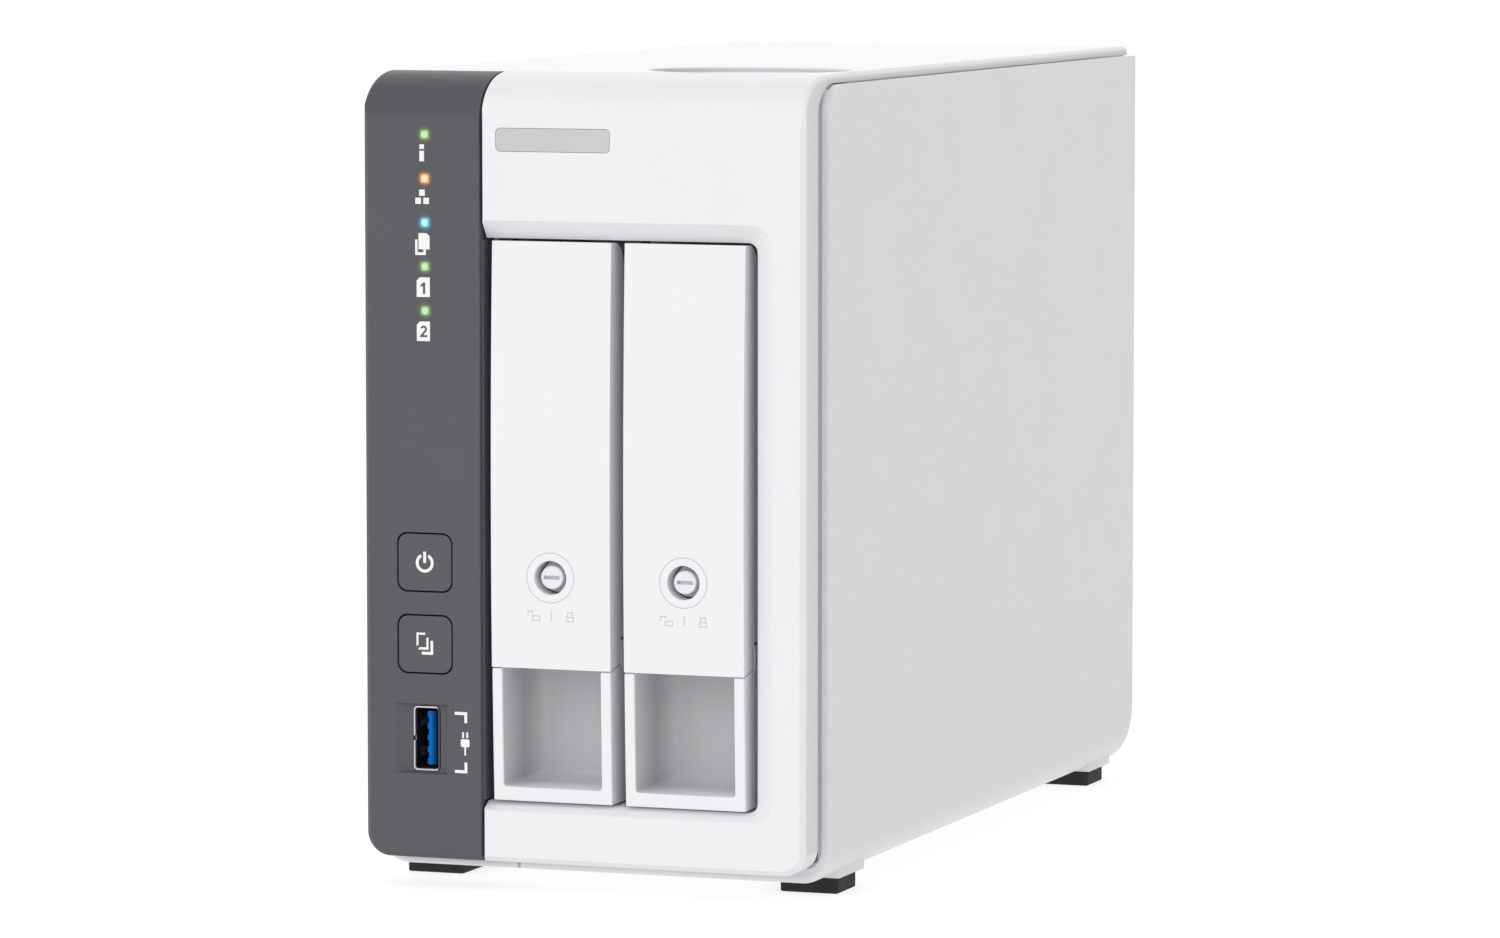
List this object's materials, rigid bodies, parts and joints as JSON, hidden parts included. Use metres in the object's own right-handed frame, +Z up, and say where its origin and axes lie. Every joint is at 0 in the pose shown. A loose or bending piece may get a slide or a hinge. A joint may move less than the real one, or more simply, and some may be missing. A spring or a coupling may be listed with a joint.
{
  "type": "network attached storage",
  "caption": "Desktop tower network storage unit: white wrap housing, dark control strip, pull-out drive trays with tall flap handles and locks, status lights, rear fan, rubber feet.",
  "frame": {"origin": "centre of the bounding box's bottom face, on the surface the feet stand on", "axes": "+X to the right seen from the front, +Y from the front to the rear, +Z up"},
  "size_m": [0.098, 0.2188, 0.165],
  "materials": {
    "white_plastic": "satin white moulding",
    "cover_plastic": "satin white cover",
    "tray_plastic": "satin white moulding",
    "grey_plastic": "satin dark grey",
    "silver_trim": "silver grey",
    "rubber": "matt black",
    "steel": "bare steel",
    "aluminium": "cast and brushed",
    "black_plastic": "satin black",
    "circuit_board": "green solder mask",
    "blue_plastic": "blue",
    "green_lens": "clear lens lit green",
    "orange_lens": "clear lens lit orange",
    "cyan_lens": "clear lens lit blue"
  },
  "bodies": {
    "housing": {"front_bezel": "white_plastic", "control_panel": "grey_plastic", "top_cover": "white_plastic", "outer_cover": "cover_plastic", "rear_panel": "cover_plastic", "name_plate": "silver_trim", "foot_front_left": "rubber", "foot_front_right": "rubber", "foot_rear_left": "rubber", "foot_rear_right": "rubber", "light_status": "green_lens", "light_network": "orange_lens", "light_copy": "cyan_lens", "light_disk_1": "green_lens", "light_disk_2": "green_lens", "front_usb_shell": "steel", "front_usb_tongue": "blue_plastic", "control_board": "circuit_board", "power_switch": "black_plastic", "copy_switch": "black_plastic", "drive_cage": "steel", "chassis_plate": "steel", "backplane_board": "circuit_board", "sata_socket_1": "black_plastic", "sata_socket_2": "black_plastic", "board_slot": "black_plastic", "mainboard": "circuit_board", "heatsink": "aluminium", "fan_frame": "black_plastic", "network_jack_1": "steel", "network_jack_2": "steel", "rear_usb_1_shell": "steel", "rear_usb_2_shell": "steel", "rear_usb_1_tongue": "black_plastic", "rear_usb_2_tongue": "black_plastic", "power_inlet": "black_plastic", "fan_screw_1": "steel", "panel_screw_1": "steel", "fan_screw_2": "steel", "panel_screw_2": "steel", "fan_screw_3": "steel", "panel_screw_3": "steel", "fan_screw_4": "steel", "panel_screw_4": "steel"},
    "tray_1": {"tray_1": "tray_plastic", "hinge_pin_1": "steel", "drive_1": "aluminium"},
    "tray_2": {"tray_2": "tray_plastic", "hinge_pin_2": "steel", "drive_2": "aluminium"},
    "handle_1": {"handle_1": "tray_plastic"},
    "handle_2": {"handle_2": "tray_plastic"},
    "lock_1": {"lock_1": "steel"},
    "lock_2": {"lock_2": "steel"},
    "power_button": {"power_button": "grey_plastic"},
    "copy_button": {"copy_button": "grey_plastic"},
    "reset_button": {"reset_button": "black_plastic"},
    "fan_rotor": {"fan_rotor": "black_plastic"}
  },
  "joints": [
    {"name": "tray_1_slide", "type": "slide", "parent": "housing", "child": "tray_1", "axis": [0, -1, 0], "range_m": [0, 0.155]},
    {"name": "handle_1_hinge", "type": "hinge", "parent": "tray_1", "child": "handle_1", "pos_m": [-0.00688, -0.10595, 0.1225], "axis": [-1, 0, 0], "range_deg": [0, 50]},
    {"name": "lock_1_turn", "type": "hinge", "parent": "handle_1", "child": "lock_1", "pos_m": [-0.00688, -0.10935, 0.06411], "axis": [0, 1, 0], "range_deg": [0, 90]},
    {"name": "tray_2_slide", "type": "slide", "parent": "housing", "child": "tray_2", "axis": [0, -1, 0], "range_m": [0, 0.155]},
    {"name": "handle_2_hinge", "type": "hinge", "parent": "tray_2", "child": "handle_2", "pos_m": [0.02152, -0.10595, 0.1225], "axis": [-1, 0, 0], "range_deg": [0, 50]},
    {"name": "lock_2_turn", "type": "hinge", "parent": "handle_2", "child": "lock_2", "pos_m": [0.02152, -0.10935, 0.06411], "axis": [0, 1, 0], "range_deg": [0, 90]},
    {"name": "power_button_press", "type": "slide", "parent": "housing", "child": "power_button", "axis": [0, 1, 0], "range_m": [0, 0.0008], "stiffness_N_per_m": 600},
    {"name": "copy_button_press", "type": "slide", "parent": "housing", "child": "copy_button", "axis": [0, 1, 0], "range_m": [0, 0.0008], "stiffness_N_per_m": 600},
    {"name": "reset_button_press", "type": "slide", "parent": "housing", "child": "reset_button", "axis": [0, -1, 0], "range_m": [0, 0.0006], "stiffness_N_per_m": 500},
    {"name": "fan_spin", "type": "hinge", "parent": "housing", "child": "fan_rotor", "pos_m": [0.0105, 0.09745, 0.098], "axis": [0, 1, 0], "continuous": true}
  ]
}
